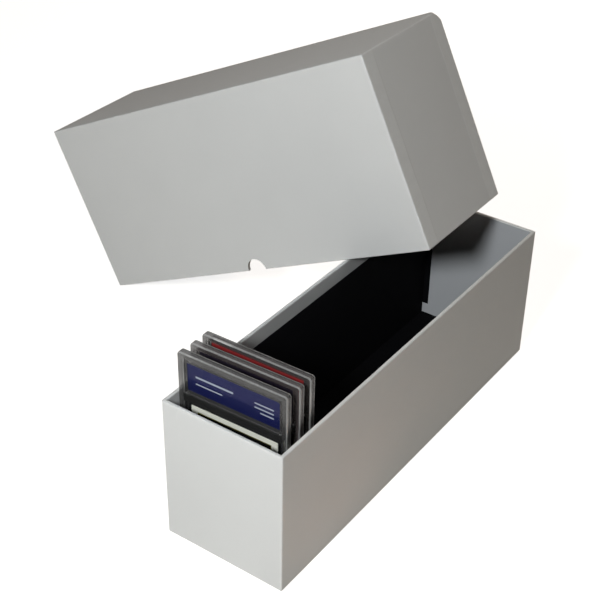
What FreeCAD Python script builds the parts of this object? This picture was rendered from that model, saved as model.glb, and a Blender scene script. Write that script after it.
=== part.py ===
import FreeCAD, Part
import math
import os

# A paper-wrapped storage box for graded cards, with a deep lift-off lid that leans on the open base.
# Millimetres. X is across the base, Y along it from the near end to the far end, Z is up.
# The origin is the middle of the base's underside.

# Graded card holders, which set the size of the box
slab_thickness = 5.2
slab_corner_radius = 2.0
slab_edge_bevel = 0.5
slab_seam_depth = 0.3
slab_rim_width = 3.2
slab_window_depth = 0.5
slab_window_radius = 2.0
label_width = 67.6
label_height = 20.3
label_thickness = 0.3
card_width = 63.5
card_height = 88.9
card_thickness = 0.4
insert_clearance = 0.25

# Clear plastic round the label and the card: beside and above the label, between them, below the card
label_side = 5.7
label_head = 7.35
label_foot = 10.85
card_foot = 8.8

# Clear distance in front of the middle of each holder, counted from the near end wall,
# how far each stands turned about its own upright axis and from the middle of the box,
# and how much higher its label sits than the first one's
slab_gaps = (9.7, 6.1, 5.9)
slab_turns_deg = (1.6, 1.9, 1.4)
slab_offsets = (-1.4, -0.6, -0.7)
label_rises = (0.0, 2.6, 3.4)

# Sheet stock
board_thickness = 2.0
wrap_thickness = 0.3
lining_thickness = 0.3
stay_thickness = 0.15

# Base
row_length = 308.2
base_height = 107.6
slab_side_clearance = 2.9
turn_under = 12.0
bottom_sheet_inset = 2.0

# Flaps by which the base's side linings lap onto its ends: their width, and their height above the floor
lining_flap = 5.0
lining_flap_foot = 9.0

# Lid, whose rim stays this far above the table when it is closed and rests on the holders
closed_lid_gap = 4.5
lid_clearance = 0.45
notch_radius = 9.0

# Folds of the wrap, and the tape at the corners
edge_radius = 1.0
rim_radius = 0.9
turn_in = 12.0
tab_width = 12.0
stay_leg = 16.0

# How the lid leans: its raised angle, its distance from the base's far end, its air gap at the rim
lid_lean_deg = 26.1
lid_far_setback = 20.8
lid_rim_gap = 0.1

# Extra length of every cutting shape, and how closely two places agree
overrun = 5.0
tolerance = 0.000001

# Worked out from the values above
label_low = card_foot + card_height + label_foot
slab_width = label_width + 2 * label_side
slab_height = label_low + label_height + label_head
wall = wrap_thickness + board_thickness + lining_thickness
base_width = slab_width + 2 * (slab_side_clearance + wall)
base_length = row_length + 2 * wall
base_floor_start = 2 * wrap_thickness
base_floor = base_floor_start + board_thickness + lining_thickness
lid_width = base_width + 2 * (lid_clearance + wall)
lid_length = base_length + 2 * (lid_clearance + wall)
lid_height = base_floor + slab_height + wall - closed_lid_gap

# A board's bevel under a rounded fold, as a share of the fold's inner radius: the wrap stays as thick there
bevel_share = 2 - math.sqrt(2)

quarter_turn_deg = 90
half_turn_deg = 180
UP = FreeCAD.Vector(0, 0, 1)
ACROSS = FreeCAD.Vector(1, 0, 0)
ALONG = FreeCAD.Vector(0, 1, 0)


def block(width, length, bottom, top):
    """A box centred on the vertical axis."""
    corner = FreeCAD.Vector(-width / 2, -length / 2, bottom)
    return Part.makeBox(width, length, top - bottom, corner)


def spans(low_x, high_x, low_y, high_y, bottom, top):
    """A box between two corners."""
    corner = FreeCAD.Vector(low_x, low_y, bottom)
    return Part.makeBox(high_x - low_x, high_y - low_y, top - bottom, corner)


def is_upright(edge):
    start, end = edge.Vertexes[0].Point, edge.Vertexes[-1].Point
    return abs(start.z - end.z) > abs(start.x - end.x) + abs(start.y - end.y)


def upright_edges(solid):
    return [edge for edge in solid.Edges if is_upright(edge)]


def lies_at(edge, level):
    return all(abs(vertex.Z - level) < tolerance for vertex in edge.Vertexes)


def rounded(solid, radius, edges):
    return solid.makeFillet(radius, edges)


def bevelled(solid, size, edges):
    return solid.makeChamfer(size, edges)


def bevel_under(radius):
    """The bevel of a board under a fold of this outer radius."""
    return bevel_share * (radius - wrap_thickness)


def open_tray(solid, hollow, finish, edge_size, rim_size):
    """Finishes a block's corners and closed face, hollows it, and finishes both edges of its rim."""
    bottom, top = solid.BoundBox.ZMin, solid.BoundBox.ZMax
    folds = [edge for edge in solid.Edges if is_upright(edge) or lies_at(edge, bottom)]
    tray = finish(solid, edge_size, folds).cut(hollow)
    return finish(tray, rim_size, [edge for edge in tray.Edges if lies_at(edge, top)])


class Tray:
    """The layers of one half of the box, standing open side up with its closed face at the bottom."""

    def __init__(self, width, length, height, skin_start, floor_start):
        self.width = width
        self.length = length
        self.height = height
        self.skin_start = skin_start
        self.floor_start = floor_start
        self.floor_top = floor_start + board_thickness
        self.board_width = width - 2 * wrap_thickness
        self.board_length = length - 2 * wrap_thickness
        self.hollow_width = self.board_width - 2 * board_thickness
        self.hollow_length = self.board_length - 2 * board_thickness
        self.mouth_width = width - 2 * wall
        self.mouth_length = length - 2 * wall
        self.lining_top = height - turn_in
        self.over = height + overrun
        self.boards = self.board_tray()
        self.stays = self.corner_stays()

    def board_tray(self):
        rim = self.height - wrap_thickness
        solid = block(self.board_width, self.board_length, self.floor_start, rim)
        hollow = block(self.hollow_width, self.hollow_length, self.floor_top, self.over)
        return open_tray(solid, hollow, bevelled, bevel_under(edge_radius), bevel_under(rim_radius))

    def corner_stays(self):
        """Tape round the outside of each corner of the boards, under the wrap."""
        low = self.floor_start + edge_radius
        high = self.height - wrap_thickness - rim_radius
        outer = block(
            self.board_width + 2 * stay_thickness, self.board_length + 2 * stay_thickness, low, high
        )
        outer_bevel = bevel_under(edge_radius + stay_thickness)
        outer = bevelled(outer, outer_bevel, upright_edges(outer))
        ring = outer.cut(self.boards).cut(block(self.hollow_width, self.hollow_length, low, high))
        between = block(self.board_width - 2 * stay_leg, self.length + overrun, low, high)
        beside = block(self.width + overrun, self.board_length - 2 * stay_leg, low, high)
        return ring.cut(between).cut(beside)

    def wrap_shell(self):
        """The covering sheet: outside, over the rim and turned in above the lining."""
        mouth = block(self.mouth_width, self.mouth_length, self.floor_top, self.over)
        lined = block(self.hollow_width, self.hollow_length, self.floor_top, self.lining_top)
        solid = block(self.width, self.length, self.skin_start, self.height)
        outside = open_tray(solid, mouth, rounded, edge_radius, rim_radius)
        return outside.cut(self.boards).cut(lined).cut(self.stays)

    def walls_of(self, shape, across, bottom, top):
        """Cuts a ring of walls into two sides, each as long as the tray, and two ends between them."""
        far_x = self.width / 2 + overrun
        far_y = self.length / 2 + overrun
        inside = across / 2
        return {
            "left": shape.common(spans(-far_x, -inside, -far_y, far_y, bottom, top)),
            "right": shape.common(spans(inside, far_x, -far_y, far_y, bottom, top)),
            "near": shape.common(spans(-inside, inside, -far_y, 0, bottom, top)),
            "far": shape.common(spans(-inside, inside, 0, far_y, bottom, top)),
        }

    def board_panels(self):
        under = self.floor_start - overrun
        walls = self.walls_of(self.boards, self.hollow_width, self.floor_top, self.over)
        floor = self.boards.common(
            block(self.width + overrun, self.length + overrun, under, self.floor_top)
        )
        return floor, walls

    def lining_panels(self):
        level = self.floor_top + lining_thickness
        floor = block(self.hollow_width, self.hollow_length, self.floor_top, level)
        ring = block(self.hollow_width, self.hollow_length, level, self.lining_top)
        ring = ring.cut(block(self.mouth_width, self.mouth_length, level, self.lining_top))
        return floor, self.walls_of(ring, self.mouth_width, level, self.lining_top)

    def lining_flaps(self, side):
        """Narrow strips that carry one side lining, at -1 or 1, round both corners onto the end linings."""
        low_x, high_x = sorted((side * self.mouth_width / 2, side * (self.mouth_width / 2 - lining_flap)))
        low = self.floor_top + lining_thickness + lining_flap_foot
        far = self.mouth_length / 2
        near = far - lining_thickness
        return [
            spans(low_x, high_x, -far, -near, low, self.lining_top),
            spans(low_x, high_x, near, far, low, self.lining_top),
        ]

    def wrap_walls(self, shell, bottom):
        return self.walls_of(shell, self.width - 2 * tab_width, bottom, self.over)


def add_tray(pieces, prefix, closed_face, names, tray, wrap_bottom, shell):
    """Names every panel of a tray."""
    floor_board, boards = tray.board_panels()
    floor_lining, linings = tray.lining_panels()
    wraps = tray.wrap_walls(shell, wrap_bottom)
    pieces[f"{prefix}_{closed_face}_board"] = floor_board
    pieces[f"{prefix}_{closed_face}_lining"] = floor_lining
    pieces[f"{prefix}_corner_stays"] = tray.stays
    for wall_name, name in names.items():
        pieces[f"{prefix}_{name}_board"] = boards[wall_name]
        pieces[f"{prefix}_{name}_wrap"] = wraps[wall_name]
        pieces[f"{prefix}_{name}_lining"] = linings[wall_name]


def base_pieces():
    tray = Tray(base_width, base_length, base_height, wrap_thickness, base_floor_start)
    opening = block(
        base_width - 2 * turn_under, base_length - 2 * turn_under, -overrun, base_floor_start
    )
    shell = tray.wrap_shell().cut(opening)
    names = {"left": "left_side", "right": "right_side", "near": "near_end", "far": "far_end"}
    pieces = {}
    add_tray(pieces, "base", "floor", names, tray, -overrun, shell)
    for name, side in (("base_left_side_lining", -1), ("base_right_side_lining", 1)):
        pieces[name] = pieces[name].fuse(tray.lining_flaps(side)).removeSplitter()
    sheet = block(
        base_width - 2 * bottom_sheet_inset, base_length - 2 * bottom_sheet_inset, 0, wrap_thickness
    )
    middle = block(
        base_width - 2 * turn_under, base_length - 2 * turn_under, wrap_thickness, base_floor_start
    )
    pieces["base_bottom_sheet"] = sheet.fuse(middle).removeSplitter()
    return pieces


def lid_pieces():
    tray = Tray(lid_width, lid_length, lid_height, 0, wrap_thickness)
    shell = tray.wrap_shell()
    names = {"left": "near_side", "right": "far_side", "near": "left_end", "far": "right_end"}
    pieces = {}
    add_tray(pieces, "lid", "top", names, tray, edge_radius, shell)
    top = block(lid_width + overrun, lid_length + overrun, -overrun, edge_radius)
    pieces["lid_top_wrap"] = shell.common(top)
    notch_start = FreeCAD.Vector(-lid_width / 2 - overrun, 0, lid_height)
    notch = Part.makeCylinder(notch_radius, lid_width + 2 * overrun, notch_start, ACROSS)
    for side in ("near_side", "far_side"):
        for layer in ("board", "wrap", "lining"):
            pieces[f"lid_{side}_{layer}"] = pieces[f"lid_{side}_{layer}"].cut(notch)
    place = lid_place()
    for shape in pieces.values():
        shape.Placement = place.multiply(shape.Placement)
    return pieces


def lid_place():
    """Turns the lid open side down, across the base, one end on the ground, its edges on the left rim."""
    lean = math.radians(lid_lean_deg)
    reach = lid_length / 2 - rim_radius
    height = reach * math.sin(lean) + rim_radius * (1 - math.cos(lean))
    rim_drop = (base_height - rim_radius - height) * math.cos(lean) + rim_radius + lid_rim_gap
    side = -base_width / 2 + rim_radius - rim_drop / math.sin(lean)
    along = base_length / 2 - lid_far_setback - lid_width / 2
    leaning = FreeCAD.Placement(
        FreeCAD.Vector(side, along, height), FreeCAD.Rotation(ALONG, -lid_lean_deg)
    )
    crosswise = FreeCAD.Placement(FreeCAD.Vector(), FreeCAD.Rotation(UP, quarter_turn_deg))
    turned_over = FreeCAD.Placement(
        FreeCAD.Vector(0, 0, lid_height), FreeCAD.Rotation(ACROSS, half_turn_deg)
    )
    return leaning.multiply(crosswise).multiply(turned_over)


def rounded_plate(width, low, high, front, back, radius):
    """An upright plate with rounded corners, its faces square to Y."""
    corner = FreeCAD.Vector(-width / 2, front, low)
    plate = Part.makeBox(width, back - front, high - low, corner)
    thickness_edges = [
        edge
        for edge in plate.Edges
        if abs(edge.Vertexes[0].Y - edge.Vertexes[-1].Y) > (back - front) / 2
    ]
    return plate.makeFillet(radius, thickness_edges)


def edges_facing(plate, depth):
    """The edges that lie wholly at one depth of an upright plate."""
    return [
        edge
        for edge in plate.Edges
        if all(abs(vertex.Y - depth) < tolerance for vertex in edge.Vertexes)
    ]


def slab_front(label_rise):
    """The front half of a holder: a raised rim round two windows, and half of each pocket behind them."""
    half = slab_thickness / 2
    shell = rounded_plate(slab_width, 0, slab_height, 0, half, slab_corner_radius)
    shell = bevelled(shell, slab_edge_bevel, edges_facing(shell, 0))
    shell = bevelled(shell, slab_seam_depth, edges_facing(shell, half))
    window_width = slab_width - 2 * slab_rim_width
    bar_low = card_foot + card_height + slab_rim_width
    bar_high = label_low - slab_rim_width / 2
    for low, high in ((slab_rim_width, bar_low), (bar_high, slab_height - slab_rim_width)):
        window = rounded_plate(
            window_width, low, high, -overrun, slab_window_depth, slab_window_radius
        )
        shell = shell.cut(window)
    for width, low, height, thickness in inserts(label_rise):
        room = width + 2 * insert_clearance
        top = low + height + insert_clearance
        pocket = spans(-room / 2, room / 2, half - thickness / 2, half + overrun, low, top)
        shell = shell.cut(pocket)
    return shell


def inserts(label_rise):
    """Width, foot, height and thickness of the label and of the card."""
    return (
        (label_width, label_low + label_rise, label_height, label_thickness),
        (card_width, card_foot, card_height, card_thickness),
    )


def insert_sheet(width, low, height, thickness):
    middle = slab_thickness / 2
    return spans(
        -width / 2, width / 2, middle - thickness / 2, middle + thickness / 2, low, low + height
    )


def slab_layers(label_rise):
    """The pieces of one holder, standing at the origin."""
    front = slab_front(label_rise)
    rear = front.mirror(FreeCAD.Vector(0, slab_thickness / 2, 0), ALONG)
    label, card = [insert_sheet(*insert) for insert in inserts(label_rise)]
    return {"front_shell": front, "rear_shell": rear, "label": label, "card": card}


def slab_pieces():
    pieces = {}
    axis_point = FreeCAD.Vector(0, slab_thickness / 2, 0)
    place = -row_length / 2
    slabs = zip(slab_gaps, slab_turns_deg, slab_offsets, label_rises)
    for number, (gap, turn, offset, label_rise) in enumerate(slabs, start=1):
        place += gap
        for layer, shape in slab_layers(label_rise).items():
            shape.rotate(axis_point, UP, turn)
            shape.translate(FreeCAD.Vector(offset, place, base_floor))
            pieces[f"slab_{number}_{layer}"] = shape
        place += slab_thickness
    return pieces


def main():
    os.makedirs("parts", exist_ok=True)
    pieces = {**base_pieces(), **lid_pieces(), **slab_pieces()}
    for name, shape in pieces.items():
        shape.exportStep(os.path.join("parts", f"{name}.step"))
        print(name, "solids", len(shape.Solids), "valid", shape.isValid(), "mm3", round(shape.Volume, 1))


main()
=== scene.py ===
import math

import bmesh
import bpy
from mathutils import Matrix, Vector


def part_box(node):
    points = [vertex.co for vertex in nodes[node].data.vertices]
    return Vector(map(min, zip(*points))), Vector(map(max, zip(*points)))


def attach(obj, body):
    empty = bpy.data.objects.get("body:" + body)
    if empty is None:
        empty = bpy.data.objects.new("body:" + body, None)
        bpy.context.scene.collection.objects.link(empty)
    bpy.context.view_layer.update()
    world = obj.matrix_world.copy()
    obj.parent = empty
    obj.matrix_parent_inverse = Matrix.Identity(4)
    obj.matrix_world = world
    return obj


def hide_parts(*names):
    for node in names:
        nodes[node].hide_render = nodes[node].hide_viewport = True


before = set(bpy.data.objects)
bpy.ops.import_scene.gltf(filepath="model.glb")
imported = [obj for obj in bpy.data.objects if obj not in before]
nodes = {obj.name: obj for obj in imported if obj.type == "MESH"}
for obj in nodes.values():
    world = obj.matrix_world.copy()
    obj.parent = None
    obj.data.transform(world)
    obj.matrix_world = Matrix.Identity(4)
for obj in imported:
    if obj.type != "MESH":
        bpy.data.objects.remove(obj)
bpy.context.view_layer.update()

# Sizes of the wrapped trays, in metres, as in the part
mm = 0.001
base_width, base_length, base_height = 90.0 * mm, 313.4 * mm, 107.6 * mm
lid_width, lid_length, lid_height = 96.1 * mm, 319.5 * mm, 137.2 * mm
wrap = 0.3 * mm
wall = 2.6 * mm
edge_radius = 1.0 * mm
rim_radius = 0.9 * mm
turn_in = 12.0 * mm
turn_under = 12.0 * mm
tab_width = 12.0 * mm
notch_radius = 9.0 * mm
lid_lean = math.radians(26.1)
lid_far_setback = 20.8 * mm
lid_rim_gap = 0.1 * mm
base_floor = 2.9 * mm

# The card holders: their size, the clear distance in front of each, how far each stands turned and
# from the middle of the box, and how much higher its label sits than the first one's
slab_width, slab_height, slab_deep = 79.0 * mm, 136.2 * mm, 5.2 * mm
slab_gaps = (9.7 * mm, 6.1 * mm, 5.9 * mm)
slab_turns = tuple(math.radians(turn) for turn in (1.6, 1.9, 1.4))
slab_offsets = (-1.4 * mm, -0.6 * mm, -0.7 * mm)
label_rises = (0, 2.6 * mm, 3.4 * mm)
card_top = 97.7 * mm
label_low, label_top, label_half = 108.55 * mm, 128.85 * mm, 33.8 * mm

# The tabs under the ends: the step they raise, how softly it starts, and how much paler they show on the
# lid, a painted highlight for the light on their slight rise
tab_step = 0.11 * mm
tab_blend = 0.5 * mm
lid_tab_highlight = 0.4

# How far a tab's edge strays from its line, as waves along the wall: height and length of each
tab_waves = ((0.25 * mm, 47.0 * mm), (0.15 * mm, 19.0 * mm))

# Rubbed paper with a painted highlight: how far the lighter rub reaches from a fold or rim, and how strong
# it is on a fold, with 1 on a rim
rub_and_highlight_reach = 0.9 * mm
fold_rub_and_highlight = 0.8

# The lid's knocked corner: how far it reaches along the edges, how softly it starts, and the distances
# from the corner at which the boards behind it are divided, so that they can bend
knock_reach = 11.6 * mm
knock_blend = 0.7 * mm
knock_cuts = [knock_reach * share for share in (0.08, 0.18, 0.3, 0.45, 0.62, 0.8, 1)]

# Where the paper has points: distances from a fold, close together where it bends, the distance
# between points elsewhere, and the places about a tab's edge
fold_steps = [step * mm for step in (0.6, 1.4, 2.6, 4.0, 5.6, 7.4, 9.4)]
even_step = 7.0 * mm
tab_edge_steps = [step * mm for step in (-0.8, -0.4, 0, 0.4, 0.8)]

# Steps in a quarter turn of a fold and sides of the round cutter, of a bead and of a stud
arc_steps = 6
notch_sides = 72
bead_sides = 8
peg_sides = 14

# Points nearer than this are one point, and folds sharper than this angle stay crisp
weld_distance = 0.004 * mm
fold_angle = math.radians(40)

# The photograph's camera, fitted to its edges: frame and focal length in pixels, place, direction and
# roll, a common sensor's width in millimetres, and the nearest distance it shows, in metres
photo_width, photo_height = 598, 600
focal_pixels = 1301.17
camera_place = Vector((373.865, -611.717, 592.673)) * mm
camera_forward = Vector((-0.476814, 0.679783, -0.557264)).normalized()
camera_roll = math.radians(-0.9252)
sensor_width = 36
camera_nearest = 0.05


def linear(red, green, blue):
    """A colour as shown on a screen, from 0 to 255, as linear light with an alpha of 1."""
    def channel(value):
        share = value / 255
        return share / 12.92 if share <= 0.04045 else ((share + 0.055) / 1.055) ** 2.4
    return channel(red), channel(green), channel(blue), 1


class Shader:
    """A material's node tree, with short calls for its nodes."""

    def __init__(self, name):
        self.material = bpy.data.materials.new(name)
        self.material.use_nodes = True
        self.tree = self.material.node_tree
        self.surface = self.tree.nodes["Principled BSDF"]
        self.place = self.node("ShaderNodeTexCoord").outputs["Object"]

    def node(self, kind, settings=None, **values):
        made = self.tree.nodes.new(kind)
        for key, value in (settings or {}).items():
            setattr(made, key, value)
        self.feed_all(made, values)
        return made

    def feed(self, socket, value):
        if isinstance(value, bpy.types.NodeSocket):
            self.tree.links.new(value, socket)
        else:
            socket.default_value = value

    def feed_all(self, node, values):
        for key, value in values.items():
            self.feed(node.inputs[key.replace("_", " ")], value)

    def set(self, **values):
        self.feed_all(self.surface, values)

    def noise(self, scale, detail, place=None):
        return self.node(
            "ShaderNodeTexNoise", Vector=place or self.place, Scale=scale, Detail=detail
        ).outputs["Fac"]

    def spread(self, value, old, new):
        """Maps one range of a value to another."""
        node = self.node("ShaderNodeMapRange", Value=value)
        for socket, number in zip(list(node.inputs)[1:5], (*old, *new)):
            socket.default_value = number
        return node.outputs["Result"]

    def math(self, operation, first, second):
        node = self.node("ShaderNodeMath", {"operation": operation})
        self.feed(node.inputs[0], first)
        self.feed(node.inputs[1], second)
        return node.outputs[0]

    def mix(self, share, first, second):
        """Mixes two colours, which are the node's sockets 6 and 7, with the result on its socket 2."""
        node = self.node("ShaderNodeMix", {"data_type": "RGBA"})
        self.feed(node.inputs["Factor"], share)
        self.feed(node.inputs[6], first)
        self.feed(node.inputs[7], second)
        return node.outputs[2]

    def bump(self, height, strength, distance):
        return self.node(
            "ShaderNodeBump", Height=height, Strength=strength, Distance=distance
        ).outputs["Normal"]

    def attribute(self, name):
        return self.node("ShaderNodeAttribute", {"attribute_name": name}).outputs["Fac"]


def tinted(colour, share):
    return tuple(channel * share for channel in colour[:3]) + (1,)


# The middle of a noise's range, where most of its values lie
noise_range = (0.3, 0.7)


def paper(name, colour, rub_and_highlight_colour, roughness, specular):
    """Coated paper: fine fibre grain, faint clouds of tone, and rubbed folds where the mesh says so, in a
    rub colour that on the white paper is lighter, a painted highlight.
    """
    shader = Shader(name)
    clouds = shader.noise(scale=22, detail=4)
    fibres = shader.noise(scale=1900, detail=3)
    flecks = shader.spread(shader.noise(scale=520, detail=2), (0.62, 0.8), (0, 0.25))
    patches = shader.spread(shader.noise(scale=160, detail=3), (0.35, 0.7), (0.5, 1))
    rub_and_highlight_share = shader.math("MULTIPLY", shader.attribute("rub_and_highlight"), patches)
    tone = shader.mix(clouds, tinted(colour, 0.965), tinted(colour, 1.02))
    tone = shader.mix(flecks, tone, tinted(colour, 0.93))
    shader.set(
        Base_Color=shader.mix(rub_and_highlight_share, tone, rub_and_highlight_colour),
        Roughness=shader.spread(clouds, noise_range, (roughness - 0.05, roughness + 0.05)),
        Normal=shader.bump(fibres, strength=0.12, distance=0.15 * mm),
        Specular_IOR_Level=specular,
    )
    return shader.material


def plain_board(name, colour):
    """Raw grey board: pressed fibres of mixed tone."""
    shader = Shader(name)
    fibres = shader.noise(scale=1400, detail=6)
    specks = shader.spread(shader.noise(scale=3200, detail=2), (0.6, 0.75), (0, 0.6))
    tone = shader.mix(fibres, tinted(colour, 0.75), tinted(colour, 1.2))
    shader.set(
        Base_Color=shader.mix(specks, tone, tinted(colour, 0.5)),
        Roughness=shader.spread(fibres, noise_range, (0.8, 0.95)),
        Normal=shader.bump(fibres, strength=0.5, distance=0.2 * mm),
    )
    return shader.material


def clear_plastic(name, colour, alphas, roughness, specular):
    """Clear moulded plastic: broad flow marks, fine scratches and a slight haze."""
    shader = Shader(name)
    flow = shader.noise(scale=70, detail=2)
    drawn_out = shader.node("ShaderNodeMapping", Vector=shader.place, Scale=(1, 1, 0.04)).outputs[0]
    scratches = shader.noise(scale=2600, detail=2, place=drawn_out)
    shader.set(
        Base_Color=shader.mix(flow, tinted(colour, 0.85), colour),
        Alpha=shader.spread(flow, noise_range, alphas),
        Roughness=shader.spread(scratches, (0.4, 0.7), (roughness, roughness + 0.06)),
        Normal=shader.bump(flow, strength=0.03, distance=0.2 * mm),
        Specular_IOR_Level=specular,
        IOR=1.55,
    )
    return shader.material


def rectangle(shader, x, z, low_x, high_x, low_z, high_z):
    """1 inside an upright rectangle, 0 outside it."""
    def between(value, low, high):
        above = shader.math("GREATER_THAN", value, low)
        below = shader.math("LESS_THAN", value, high)
        return shader.math("MULTIPLY", above, below)
    return shader.math("MULTIPLY", between(x, low_x, high_x), between(z, low_z, high_z))


def printed(name, node, colour, shapes, roughness):
    """Print on coated stock: plain shapes, each a colour and its margins, in millimetres, from the
    sheet's left, right, foot and head."""
    shader = Shader(name)
    low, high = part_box(node)
    parts = shader.node("ShaderNodeSeparateXYZ", Vector=shader.place)
    x, z = parts.outputs["X"], parts.outputs["Z"]
    clouds = shader.noise(scale=60, detail=3)
    fibres = shader.noise(scale=1800, detail=2)
    tone = shader.mix(clouds, tinted(colour, 0.88), tinted(colour, 1.08))
    for ink, left, right, foot, head in shapes:
        inside = rectangle(
            shader, x, z, low.x + left * mm, high.x - right * mm, low.z + foot * mm, high.z - head * mm
        )
        tone = shader.mix(inside, tone, ink)
    shader.set(
        Base_Color=tone,
        Roughness=shader.spread(clouds, noise_range, (roughness - 0.04, roughness + 0.04)),
        Normal=shader.bump(fibres, strength=0.05, distance=0.1 * mm),
        Specular_IOR_Level=0.06,
    )
    return shader.material


# Paper, tape and board: the colour, the colour where it is rubbed, which on the white paper is lighter as a
# painted highlight on rims and folds, roughness and specular level
white_paper = paper("white_paper", (0.80, 0.80, 0.795, 1), (0.93, 0.93, 0.92, 1), 0.7, 0.05)
black_paper = paper("black_paper", (0.004, 0.004, 0.005, 1), (0.012, 0.012, 0.012, 1), 0.85, 0.06)
# Pale paper for the end linings, darker than the white wrap as painted shade for the weaker light deep in
# the box
pale_paper_painted_shade = paper("pale_paper_painted_shade", (0.56, 0.57, 0.595, 1), (0.5, 0.5, 0.5, 1), 0.8, 0.06)
kraft_tape = paper("kraft_tape", (0.50, 0.36, 0.22, 1), (0.4, 0.3, 0.2, 1), 0.75, 0.3)
grey_board = plain_board("grey_board", (0.42, 0.40, 0.37, 1))

# Plastic of the holders' cases, with a rim of its own tint for each holder: the rims' dark grey is a painted
# view of the dark box through clear plastic, and the reddish tints of holders 2 and 3 are a painted
# reflection of the labels
rim_refraction_tints = ((0.08, 0.077, 0.077, 1), (0.088, 0.073, 0.073, 1), (0.085, 0.076, 0.075, 1))
painted_refraction_rims = [
    clear_plastic(f"clear_rim_painted_refraction_{number}", tint, alphas=(0.64, 0.78), roughness=0.18, specular=0.5)
    for number, tint in enumerate(rim_refraction_tints, 1)
]
# The cases' bevels and studs: light grey, nearly opaque plastic, a painted highlight for the light they
# catch
highlight_edge_plastic = clear_plastic(
    "clear_edge_highlight", (0.35, 0.347, 0.342, 1), alphas=(0.7, 0.88), roughness=0.12, specular=0.6
)
window_plastic = clear_plastic(
    "clear_window", (0.3, 0.31, 0.33, 1), alphas=(0.012, 0.03), roughness=0.05, specular=0.5
)
bar_plastic = clear_plastic(
    "clear_bar", (0.032, 0.032, 0.031, 1), alphas=(0.66, 0.78), roughness=0.2, specular=0.3
)

# Each label's ground and the darker colour of its lower part, and the card's print: stock, thin line, ground
# and panel
silver_ink = linear(176, 182, 196)
label_colours = (
    (linear(41, 43, 86), linear(16, 22, 72)),
    (linear(26, 18, 34), linear(20, 16, 40)),
    (linear(160, 42, 44), linear(132, 32, 36)),
)
label_roughness = 0.38
card_stock = linear(250, 249, 235)
card_shapes = (
    (linear(128, 122, 60), 4.6, 4.6, 4.2, 3.5),
    (linear(12, 12, 11), 5.1, 5.1, 4.8, 4.1),
    (linear(28, 31, 33), 9.0, 9.0, 10.0, 10.0),
)
card_roughness = 0.3


def label_shapes(dark):
    """A darker lower part, and two long bars and three short ones as on a blank form."""
    return (
        (dark, 0, 0, 0, 11.6),
        (silver_ink, 6.0, 34.0, 11.2, 7.7),
        (silver_ink, 6.0, 42.0, 6.4, 13.0),
        (silver_ink, 49.0, 5.0, 11.6, 7.7),
        (silver_ink, 49.0, 5.0, 8.6, 10.7),
        (silver_ink, 53.0, 5.0, 5.6, 13.7),
    )


def assign(piece, material):
    piece.data.materials.clear()
    piece.data.materials.append(material)


for name, piece in nodes.items():
    if name.endswith("_board"):
        assign(piece, grey_board)
    elif name.endswith(("_wrap", "_sheet")):
        assign(piece, white_paper)
    # The end linings take the pale paper, darker than white as painted shade
    elif name in ("base_far_end_lining", "base_near_end_lining"):
        assign(piece, pale_paper_painted_shade)
    elif name.endswith("_lining"):
        assign(piece, black_paper)
    elif name.endswith("_stays"):
        assign(piece, kraft_tape)
    elif name.endswith("_label"):
        ground, dark = label_colours[int(name.split("_")[1]) - 1]
        assign(piece, printed(name + "_print", name, ground, label_shapes(dark), label_roughness))
    elif name.endswith("_card"):
        assign(piece, printed(name + "_print", name, card_stock, card_shapes, card_roughness))


def placed(name, data):
    """A new object in the scene."""
    made = bpy.data.objects.new(name, data)
    bpy.context.scene.collection.objects.link(made)
    return made


def mark_folds(mesh):
    """Smooth shading, apart from hard folds and open edges."""
    for face in mesh.faces:
        face.smooth = True
    for edge in mesh.edges:
        edge.smooth = len(edge.link_faces) == 2 and edge.calc_face_angle(0) < fold_angle


def finish_mesh(mesh, name, body, looks, replaced):
    """Closes a mesh's seams, marks its hard folds and puts it in the scene in place of CAD nodes."""
    data = bpy.data.meshes.new(name)
    bmesh.ops.remove_doubles(mesh, verts=mesh.verts, dist=weld_distance)
    bmesh.ops.dissolve_degenerate(mesh, edges=mesh.edges, dist=weld_distance)
    bmesh.ops.recalc_face_normals(mesh, faces=mesh.faces)
    mark_folds(mesh)
    mesh.to_mesh(data)
    mesh.free()
    piece = placed(name, data)
    for look in looks:
        data.materials.append(look)
    smooth = piece.modifiers.new("even_normals", "WEIGHTED_NORMAL")
    smooth.keep_sharp = True
    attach(piece, body)
    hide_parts(*replaced)
    return piece


def join_rings(mesh, first, second, look=0):
    """Faces between two closed rows with as many points each."""
    for n in range(len(first)):
        after = (n + 1) % len(first)
        mesh.faces.new((first[n], first[after], second[after], second[n])).material_index = look


def stations(half, mark=None):
    """Places along a wall: close together near both corners and about a marked line, even between them."""
    places = set()
    for distance in [0, *fold_steps]:
        places |= {-half + distance, half - distance}
    if mark:
        for shift in tab_edge_steps:
            places |= {-mark + shift, mark - shift}
    inner = half - fold_steps[-1]
    count = max(2, round(2 * inner / even_step))
    places |= {-inner + 2 * inner * n / count for n in range(count + 1)}
    return sorted(places)


def ring(half_x, half_y, radius, xs, ys):
    """Points round a rounded rectangle, the same number whatever its size."""
    def held(values, limit):
        return [max(-limit, min(limit, value)) for value in values]

    across, along = held(xs, half_x - radius), held(ys, half_y - radius)
    sides = (
        [(x, -half_y) for x in across],
        [(half_x, y) for y in along],
        [(x, half_y) for x in reversed(across)],
        [(-half_x, y) for y in reversed(along)],
    )
    corner_signs = ((1, -1), (1, 1), (-1, 1), (-1, -1))
    points = []
    for quarter, (side, (sign_x, sign_y)) in enumerate(zip(sides, corner_signs)):
        points += side
        for n in range(1, arc_steps):
            angle = math.radians(90) * (quarter - 1 + n / arc_steps)
            points.append((
                sign_x * (half_x - radius) + radius * math.cos(angle),
                sign_y * (half_y - radius) + radius * math.sin(angle),
            ))
    return points


def bend(centre, radius, start, end):
    """Points along an arc of a section, from one angle to another, in degrees."""
    angles = [math.radians(start + (end - start) * n / arc_steps) for n in range(arc_steps + 1)]
    return [(centre[0] + radius * math.cos(a), centre[1] + radius * math.sin(a)) for a in angles]


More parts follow.
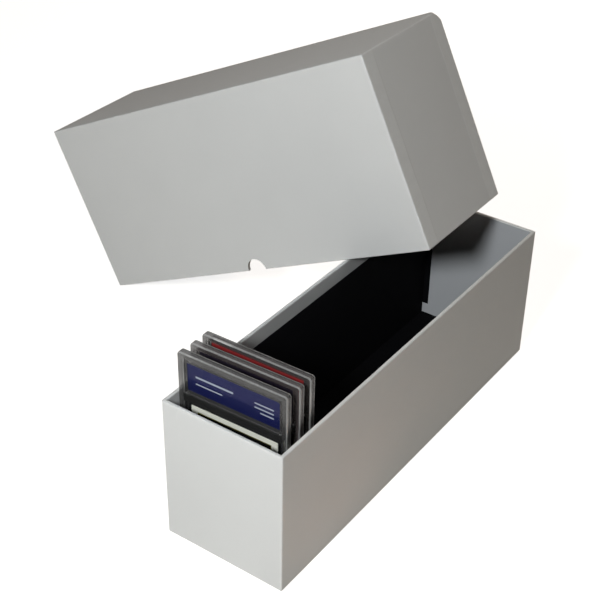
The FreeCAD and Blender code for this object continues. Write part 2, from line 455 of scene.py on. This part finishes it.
def wrap_section(height, skin, start):
    """Inset from the outer face and height of the folded sheet, from its closed face round the rim
    and back inside."""
    low, top = skin + edge_radius, height - rim_radius
    inside = wall - wrap
    path = [(start, skin)] if start > edge_radius else []
    path += bend((edge_radius, low), edge_radius, 270, 180)
    span = top - low - 2 * fold_steps[-1]
    count = round(span / even_step)
    path += [(0, low + distance) for distance in fold_steps]
    path += [(0, low + fold_steps[-1] + span * n / count) for n in range(1, count + 1)]
    path += [(0, top - distance) for distance in reversed(fold_steps[:-1])]
    path += bend((rim_radius, top), rim_radius, 180, 90)
    path += bend((wall - rim_radius, top), rim_radius, 90, 0)
    path += [(wall, height - turn_in * share) for share in (0.25, 0.5, 0.75, 1)]
    path += [(inside, height - turn_in), (inside, top), (wall - rim_radius, height - wrap)]
    path += [(rim_radius, height - wrap), (wrap, top), (wrap, low), (edge_radius, skin + wrap)]
    path += [(start, skin + wrap)] if start > edge_radius else []
    return path


def eased(value):
    """A smooth rise from 0 to 1 as the value does the same."""
    share = max(0, min(1, value))
    return share * share * (3 - 2 * share)


def tab_reach(level):
    """How far a tab reaches from the corner at a height of the wall."""
    return tab_width + sum(rise * math.sin(2 * math.pi * level / length) for rise, length in tab_waves)


def tab_sink(x, level, inset, half_x):
    """How far the end face lies behind the tabs that run under its two upright edges."""
    fade = max(0, 1 - inset / rim_radius)
    return tab_step * fade * eased((half_x - tab_reach(level) + tab_blend - abs(x)) / (2 * tab_blend))


def add_sheet(mesh, xs, ys, level):
    """A flat sheet with points at the given places."""
    grid = [[mesh.verts.new((x, y, level)) for x in xs] for y in ys]
    for row, above in zip(grid, grid[1:]):
        for n in range(len(row) - 1):
            mesh.faces.new((row[n], row[n + 1], above[n + 1], above[n]))


def wrap_mesh(width, length, height, skin, start):
    """The folded paper sheet of one tray, standing with its open side up."""
    half_x, half_y = width / 2, length / 2
    xs = stations(half_x - edge_radius, half_x - tab_width)
    ys = stations(half_y - edge_radius)
    mesh = bmesh.new()
    rings = []
    for inset, level in wrap_section(height, skin, start):
        points = ring(half_x - inset, half_y - inset, max(0, edge_radius - inset), xs, ys)
        row = []
        for x, y in points:
            if abs(y) > half_y - inset - wrap and inset < rim_radius:
                y -= math.copysign(tab_sink(x, level, inset, half_x), y)
            row.append(mesh.verts.new((x, y, level)))
        rings.append(row)
    pairs = list(zip(rings, rings[1:]))
    if start > edge_radius:
        pairs.append((rings[-1], rings[0]))
    else:
        for level in (skin, skin + wrap):
            add_sheet(mesh, xs, ys, level)
    for first, second in pairs:
        join_rings(mesh, first, second)
    return mesh


def paint_rub_and_highlight(piece, places, width, length, height, tab_highlight):
    """Writes where folds and rims get rubbed, with a painted highlight, and where tabs double the paper,
    with a painted lighter tone on the lid, from places in the upright tray."""
    values = []
    for x, y, z in places:
        folds = sorted((width / 2 - abs(x), length / 2 - abs(y), z))
        rub_and_highlight_share = max(fold_rub_and_highlight * math.exp(-folds[1] / rub_and_highlight_reach), math.exp(-(height - z) / rub_and_highlight_reach))
        # The lid's tabs get a painted lighter tone, a painted highlight for the light on their slight rise.
        if length / 2 - abs(y) < wrap:
            rub_and_highlight_share = max(rub_and_highlight_share, tab_highlight * eased((abs(x) - width / 2 + tab_reach(z)) / tab_blend))
        values.append(min(1, rub_and_highlight_share))
    piece.data.attributes.new("rub_and_highlight", "FLOAT", "POINT").data.foreach_set("value", values)


def lid_matrix():
    """Turns the upright tray open side down and leans it on the base's left rim, as in the part."""
    reach = lid_length / 2 - rim_radius
    level = reach * math.sin(lid_lean) + rim_radius * (1 - math.cos(lid_lean))
    drop = (base_height - rim_radius - level) * math.cos(lid_lean) + rim_radius + lid_rim_gap
    side = -base_width / 2 + rim_radius - drop / math.sin(lid_lean)
    middle = Vector((side, base_length / 2 - lid_far_setback - lid_width / 2, level))
    along = Vector((math.cos(lid_lean), 0, math.sin(lid_lean)))
    up = Vector((-math.sin(lid_lean), 0, math.cos(lid_lean)))
    turn = Matrix((Vector((0, 1, 0)), along, -up)).transposed().to_4x4()
    return Matrix.Translation(middle + up * lid_height) @ turn


def cut_notches(mesh):
    """Cuts the half-round thumb notch out of both long rims of the upright lid."""
    notch = bmesh.new()
    right_through = 1.3 * lid_width
    bmesh.ops.create_cone(
        notch, cap_ends=True, segments=notch_sides,
        radius1=notch_radius, radius2=notch_radius, depth=right_through,
    )
    bmesh.ops.rotate(notch, verts=notch.verts, matrix=Matrix.Rotation(math.radians(90), 3, "Y"))
    bmesh.ops.translate(notch, verts=notch.verts, vec=(0, 0, lid_height))
    blocks = []
    for part in (mesh, notch):
        data = bpy.data.meshes.new("cutting")
        bmesh.ops.remove_doubles(part, verts=part.verts, dist=weld_distance)
        bmesh.ops.recalc_face_normals(part, faces=part.faces)
        part.to_mesh(data)
        part.free()
        blocks.append(placed("cutting", data))
    cut = blocks[0].modifiers.new("cut", "BOOLEAN")
    cut.object = blocks[1]
    cut.solver = "EXACT"
    result = bmesh.new()
    result.from_object(blocks[0], bpy.context.evaluated_depsgraph_get())
    for block in blocks:
        bpy.data.objects.remove(block)
    return result


def blunted(point):
    """Rounds the upright lid's knocked corner by a ball that starts on its edges, knock_reach from the
    corner; each outer layer keeps its depth under the paper."""
    corner = Vector((lid_width / 2, lid_length / 2, 0))
    distances = (corner.x - point.x, corner.y - point.y, point.z)
    depth = edge_radius - math.hypot(*(max(0, edge_radius - distance) for distance in distances))
    inward = [knock_reach - distance for distance in distances]
    length = math.hypot(*inward)
    ball_radius = math.sqrt(2) * knock_reach
    excess = length - ball_radius + min(wrap, depth)
    if min(inward) <= 0 or excess <= 0:
        return point
    share = excess * eased(excess / knock_blend) / length
    x, y, z = (value * share for value in inward)
    return point + Vector((-x, -y, z))


def knock_boards():
    """Rounds the boards and tape behind the knocked corner of the lid."""
    place = lid_matrix()
    upright = place.inverted()
    layers = [(f"lid_{name}_board", grey_board, "greyboard") for name in ("top", "far_side", "right_end")]
    layers.append(("lid_corner_stays", kraft_tape, "stay_tape"))
    for name, material, slot in layers:
        mesh = bmesh.new()
        mesh.from_mesh(nodes[name].data)
        mesh.transform(upright)
        for cut in knock_cuts:
            corner = Vector((lid_width / 2 - cut, lid_length / 2 - cut, cut))
            for across in ((1, 0, 0), (0, 1, 0), (0, 0, 1)):
                parts = [*mesh.verts, *mesh.edges, *mesh.faces]
                bmesh.ops.bisect_plane(mesh, geom=parts, plane_co=corner, plane_no=across)
        for vertex in mesh.verts:
            vertex.co = blunted(vertex.co)
        mesh.transform(place)
        finish_mesh(mesh, f"{name}_knocked", "lid", [material], [name])


def dress_base():
    """The base's wrap, with the paper turned in on the end walls in the colour of their linings, a darker
    paper whose tone is painted shade.
    """
    mesh = wrap_mesh(base_width, base_length, base_height, wrap, turn_under)
    near_enough = 0.01 * mm
    for face in mesh.faces:
        depth = base_length / 2 - abs(face.calc_center_median().y)
        face.material_index = int(abs(depth - wall) < near_enough)
    replaced = [f"base_{name}_wrap" for name in ("left_side", "right_side", "near_end", "far_end")]
    piece = finish_mesh(mesh, "base_wrap", "base", [white_paper, pale_paper_painted_shade], replaced)
    paint_rub_and_highlight(piece, [v.co[:] for v in piece.data.vertices], base_width, base_length, base_height, 0)


def dress_lid():
    """The lid's wrap, with its thumb notches and its knocked corner."""
    mesh = cut_notches(wrap_mesh(lid_width, lid_length, lid_height, 0, 0))
    for vertex in mesh.verts:
        vertex.co = blunted(vertex.co)
    place = lid_matrix()
    mesh.transform(place)
    replaced = ["lid_top_wrap"]
    replaced += [f"lid_{name}_wrap" for name in ("near_side", "far_side", "left_end", "right_end")]
    piece = finish_mesh(mesh, "lid_wrap", "lid", [white_paper], replaced)
    upright = place.inverted()
    places = [(upright @ v.co)[:] for v in piece.data.vertices]
    paint_rub_and_highlight(piece, places, lid_width, lid_length, lid_height, lid_tab_highlight)


# A holder's case, in millimetres: inset from its outline and depth from its front, to the parting line
case_section = (
    (3.9, 0.50), (3.45, 0.40), (3.2, 0.16), (2.8, 0.0), (1.9, 0.0), (1.0, 0.0),
    (0.55, 0.07), (0.2, 0.3), (0.0, 0.75), (0.0, 1.15), (0.0, 2.1), (0.3, 2.45),
)
case_corner = 2.0 * mm
window_corner = 1.6 * mm

# The looks of the bands between those stations, from the front window to the parting line and on to the rear
# window: smoky rim, whose grey is a painted view of the dark box through clear plastic, light edge with a
# painted highlight, clear window, and the dark of the bar between the windows
RIM, HIGHLIGHT_EDGE, WINDOW, BAR = 0, 1, 2, 3
front_looks = (RIM, RIM, RIM, RIM, RIM, RIM, HIGHLIGHT_EDGE, HIGHLIGHT_EDGE, HIGHLIGHT_EDGE, RIM, RIM, RIM)
rear_looks = (RIM, BAR, HIGHLIGHT_EDGE, HIGHLIGHT_EDGE, HIGHLIGHT_EDGE, RIM, RIM, RIM, RIM, RIM, RIM)

# The beads round a label: margins from it, depth of their middle, corners and section
bead_margin, bead_head_margin = 0.9 * mm, 1.8 * mm
bead_depth, bead_corner, bead_radius = 0.55 * mm, 1.2 * mm, 0.4 * mm

# The frame that holds a label: room round the label, margin from the case's outline, corners and thickness
frame_room, frame_margin = 0.25 * mm, 3.6 * mm
frame_corner, frame_room_corner, frame_thickness = 1.2 * mm, 0.4 * mm, 1.4 * mm

# The bars between the windows: margin from the case's sides, depths of their two faces, distance under
# the label, and the rounding of their edges; they and the frame start this far over the card
bar_margin, bar_near, bar_far = 3.4 * mm, 0.05 * mm, 0.75 * mm
bar_head_gap, bar_bevel = 1.6 * mm, 0.3 * mm
over_card = 3.2 * mm

# The studs: distances beside and under the label, radius, and the shares of the radius with their
# depths in millimetres, from the middle of the domed face to its rim
peg_aside, peg_under, peg_radius = 0.4 * mm, 2.2 * mm, 0.8 * mm
peg_profile = ((0.0, 0.62), (0.55, 0.66), (0.85, 0.8), (1.0, 1.1))


def slab_matrix(number):
    """Stands a holder in the row and turns it about its own upright axis, as in the part."""
    front = -base_length / 2 + wall + sum(slab_gaps[:number]) + (number - 1) * slab_deep
    middle = Matrix.Translation((slab_offsets[number - 1], front + slab_deep / 2, base_floor))
    turn = Matrix.Rotation(slab_turns[number - 1], 4, "Z")
    return middle @ turn @ Matrix.Translation((0, -slab_deep / 2, 0))


def case_ring(mesh, inset, depth):
    """One rounded outline of a holder's case, at an inset and a depth from its front."""
    half_x, half_z = slab_width / 2 - inset, slab_height / 2 - inset
    radius = max(case_corner - inset, window_corner)
    points = ring(half_x, half_z, radius, [-half_x, half_x], [-half_z, half_z])
    return [mesh.verts.new((x, depth, slab_height / 2 + z)) for x, z in points]


def outline_round(low_x, high_x, low_z, high_z, depth, radius):
    """Points round an upright rectangle with rounded corners, at a depth from a holder's front."""
    half_x, half_z = (high_x - low_x) / 2, (high_z - low_z) / 2
    middle = Vector(((low_x + high_x) / 2, depth, (low_z + high_z) / 2))
    points = ring(half_x, half_z, radius, [-half_x, half_x], [-half_z, half_z])
    return [middle + Vector((x, 0, z)) for x, z in points]


def add_case(mesh):
    """The two shells of a holder's case with their windows."""
    front = [(inset * mm, depth * mm) for inset, depth in case_section]
    back = [(inset, slab_deep - depth) for inset, depth in reversed(front)]
    rings = [case_ring(mesh, inset, depth) for inset, depth in front + back]
    for first, second, look in zip(rings, rings[1:], front_looks + rear_looks):
        join_rings(mesh, first, second, look)
    for window in (rings[0], rings[-1]):
        mesh.faces.new(window).material_index = WINDOW


def add_bead(mesh, outline, look):
    """A closed bead of round section along a closed outline in a plane square to Y."""
    count = len(outline)
    loops = []
    for n, point in enumerate(outline):
        along = (outline[(n + 1) % count] - outline[n - 1]).normalized()
        side = along.cross(Vector((0, 1, 0)))
        loop = []
        for k in range(bead_sides):
            angle = 2 * math.pi * k / bead_sides
            offset = math.cos(angle) * side + math.sin(angle) * Vector((0, 1, 0))
            loop.append(mesh.verts.new(point + offset * bead_radius))
        loops.append(loop)
    for first, second in zip(loops, loops[1:] + loops[:1]):
        join_rings(mesh, first, second, look)


def add_frame(mesh, outer, inner, look):
    """A flat frame between two outlines with as many points each, centred on their plane."""
    half = Vector((0, frame_thickness / 2, 0))
    edges = ((outer, -half), (inner, -half), (inner, half), (outer, half))
    loops = [[mesh.verts.new(point + shift) for point in outline] for outline, shift in edges]
    for first, second in zip(loops, loops[1:] + loops[:1]):
        join_rings(mesh, first, second, look)


def add_bar(mesh, low, high, look):
    """A bar with rounded edges."""
    size = high - low
    place = Matrix.Translation((low + high) / 2) @ Matrix.Diagonal((*size, 1))
    made = bmesh.ops.create_cube(mesh, size=1, matrix=place)
    edges = list(dict.fromkeys(edge for vertex in made["verts"] for edge in vertex.link_edges))
    result = bmesh.ops.bevel(mesh, geom=edges, offset=bar_bevel, segments=3, affect="EDGES", profile=0.5)
    for vertex in result["verts"]:
        for face in vertex.link_faces:
            face.material_index = look


def add_peg(mesh, x, z, look):
    """A round stud between the two shells, with a domed front and back."""
    front = [(share * peg_radius, depth * mm) for share, depth in peg_profile]
    back = [(wide, slab_deep - depth) for wide, depth in reversed(front)]
    angles = [2 * math.pi * n / peg_sides for n in range(peg_sides)]
    loops = []
    for wide, depth in front + back:
        points = [(x + wide * math.cos(a), depth, z + wide * math.sin(a)) for a in angles]
        loops.append([mesh.verts.new(point) for point in points])
    for first, second in zip(loops, loops[1:]):
        join_rings(mesh, first, second, look)


def dress_slab(number):
    """A holder's case, and between its shells the label's beads and frame, the bars and the studs."""
    body = f"slab_{number}"
    mesh = bmesh.new()
    add_case(mesh)
    label_foot, label_head = label_low + label_rises[number - 1], label_top + label_rises[number - 1]
    for depth in (bead_depth, slab_deep - bead_depth):
        side = label_half + bead_margin
        outline = outline_round(
            -side, side, label_foot - bead_margin, label_head + bead_head_margin, depth, bead_corner
        )
        add_bead(mesh, outline, RIM)
    frame_half, room_half = slab_width / 2 - frame_margin, label_half + frame_room
    add_frame(
        mesh,
        outline_round(
            -frame_half, frame_half, card_top + over_card, slab_height - frame_margin,
            slab_deep / 2, frame_corner,
        ),
        outline_round(
            -room_half, room_half, label_foot - frame_room, label_head + frame_room,
            slab_deep / 2, frame_room_corner,
        ),
        RIM,
    )
    bar_half = slab_width / 2 - bar_margin
    for near, far in ((bar_near, bar_far), (slab_deep - bar_far, slab_deep - bar_near)):
        low = Vector((-bar_half, near, card_top + over_card))
        high = Vector((bar_half, far, label_low - bar_head_gap))
        add_bar(mesh, low, high, BAR)
    for side in (-1, 1):
        # The studs take the edge look, a painted highlight.
        add_peg(mesh, side * (label_half + peg_aside), label_low - peg_under, HIGHLIGHT_EDGE)
    mesh.transform(slab_matrix(number))
    looks = [painted_refraction_rims[number - 1], highlight_edge_plastic, window_plastic, bar_plastic]
    shells = [f"{body}_front_shell", f"{body}_rear_shell"]
    finish_mesh(mesh, f"{body}_case", body, looks, shells)


dress_base()
dress_lid()
knock_boards()
for number in (1, 2, 3):
    dress_slab(number)

# The stage: half the floor's side in metres, the floor's tones, how much it glows to the eye, and the
# faint light from all round
white = (1, 1, 1, 1)
floor_half = 12.0
floor_tones = ((0.91, 0.86, 0.80, 1), (0.93, 0.88, 0.82, 1))
floor_glow = 0.8
world_colour = (1.0, 0.95, 0.9, 1)
world_strength = 0.0125


def add_camera():
    data = bpy.data.cameras.new("camera")
    data.sensor_width = sensor_width
    long_side = max(photo_width, photo_height)
    data.lens = data.sensor_width * focal_pixels / long_side
    data.clip_start = camera_nearest
    camera = placed("camera", data)
    right = camera_forward.cross(Vector((0, 0, 1))).normalized()
    down = camera_forward.cross(right)
    turned_right = math.cos(camera_roll) * right + math.sin(camera_roll) * down
    turned_down = math.cos(camera_roll) * down - math.sin(camera_roll) * right
    columns = Matrix((turned_right, -turned_down, -camera_forward)).transposed()
    camera.matrix_world = Matrix.Translation(camera_place) @ columns.to_4x4()
    bpy.context.scene.camera = camera


def white_to_eye(tree, lit, glow):
    """Mixes a lit look with a glowing one that only the camera, mirrors and clear plastic see."""
    path = tree.nodes.new("ShaderNodeLightPath")
    seen = path.outputs["Is Camera Ray"]
    for ray in ("Is Glossy Ray", "Is Transmission Ray"):
        either = tree.nodes.new("ShaderNodeMath")
        either.operation = "MAXIMUM"
        tree.links.new(seen, either.inputs[0])
        tree.links.new(path.outputs[ray], either.inputs[1])
        seen = either.outputs[0]
    mix = tree.nodes.new("ShaderNodeMixShader")
    tree.links.new(seen, mix.inputs[0])
    tree.links.new(lit, mix.inputs[1])
    tree.links.new(glow, mix.inputs[2])
    return mix.outputs[0]


def add_floor():
    mesh = bpy.data.meshes.new("floor")
    corners = [(x * floor_half, y * floor_half, 0) for x, y in ((-1, -1), (1, -1), (1, 1), (-1, 1))]
    mesh.from_pydata(corners, [], [(0, 1, 2, 3)])
    floor = placed("floor", mesh)
    shader = Shader("floor_paper")
    tree = shader.tree
    tone = shader.mix(shader.noise(scale=3, detail=2), *floor_tones)
    shader.set(Base_Color=tone, Roughness=0.9, Specular_IOR_Level=0.1)
    glow = shader.node("ShaderNodeEmission", Color=white, Strength=floor_glow)
    both = tree.nodes.new("ShaderNodeAddShader")
    tree.links.new(shader.surface.outputs[0], both.inputs[0])
    tree.links.new(glow.outputs[0], both.inputs[1])
    output = tree.nodes["Material Output"]
    tree.links.new(white_to_eye(tree, shader.surface.outputs[0], both.outputs[0]), output.inputs[0])
    assign(floor, shader.material)


def add_world():
    world = bpy.data.worlds.new("studio")
    bpy.context.scene.world = world
    world.use_nodes = True
    tree = world.node_tree
    lit = tree.nodes["Background"]
    lit.inputs["Color"].default_value = world_colour
    lit.inputs["Strength"].default_value = world_strength
    glow = tree.nodes.new("ShaderNodeBackground")
    glow.inputs["Color"].default_value = white
    glow.inputs["Strength"].default_value = 1.0
    output = tree.nodes["World Output"]
    tree.links.new(white_to_eye(tree, lit.outputs[0], glow.outputs[0]), output.inputs[0])


def add_lamp(name, place, target, size, power, colour, spread=math.pi):
    """A round soft lamp, in metres and watts."""
    data = bpy.data.lights.new(name, "AREA")
    data.shape = "DISK"
    data.size = size
    data.energy = power
    data.color = colour
    data.spread = spread
    lamp = placed(name, data)
    lamp.location = place
    lamp.rotation_mode = "QUATERNION"
    lamp.rotation_quaternion = (Vector(target) - Vector(place)).to_track_quat("-Z", "Y")


add_camera()
add_floor()
add_world()

# The lamps: place, the point each is turned to, size, power, colour, and for the table's a narrow cone
box_middle = (0, 0, 0.1)
add_lamp("key", (0.144, -0.763, 0.647), box_middle, 0.14, 5.18, (0.955, 0.995, 1.0))
add_lamp("fill", (0.0, 1.3, 1.3), box_middle, 0.8, 4.65, (1.0, 0.84, 0.67))
add_lamp("front_fill", (-0.8, -1.3, 0.8), box_middle, 0.8, 1.14, (1.0, 1.0, 1.0))
add_lamp("table", (0.16, -0.11, 0.4), (0.16, -0.11, 0), 0.05, 0.0285, (1.0, 0.68, 0.53), math.radians(30))
add_lamp("back_fill", (-0.35, 1.6, 0.3), (-0.1, 0, 0.12), 0.6, 5.25, (0.96, 0.98, 1.0))

bpy.context.scene.view_settings.view_transform = "Standard"
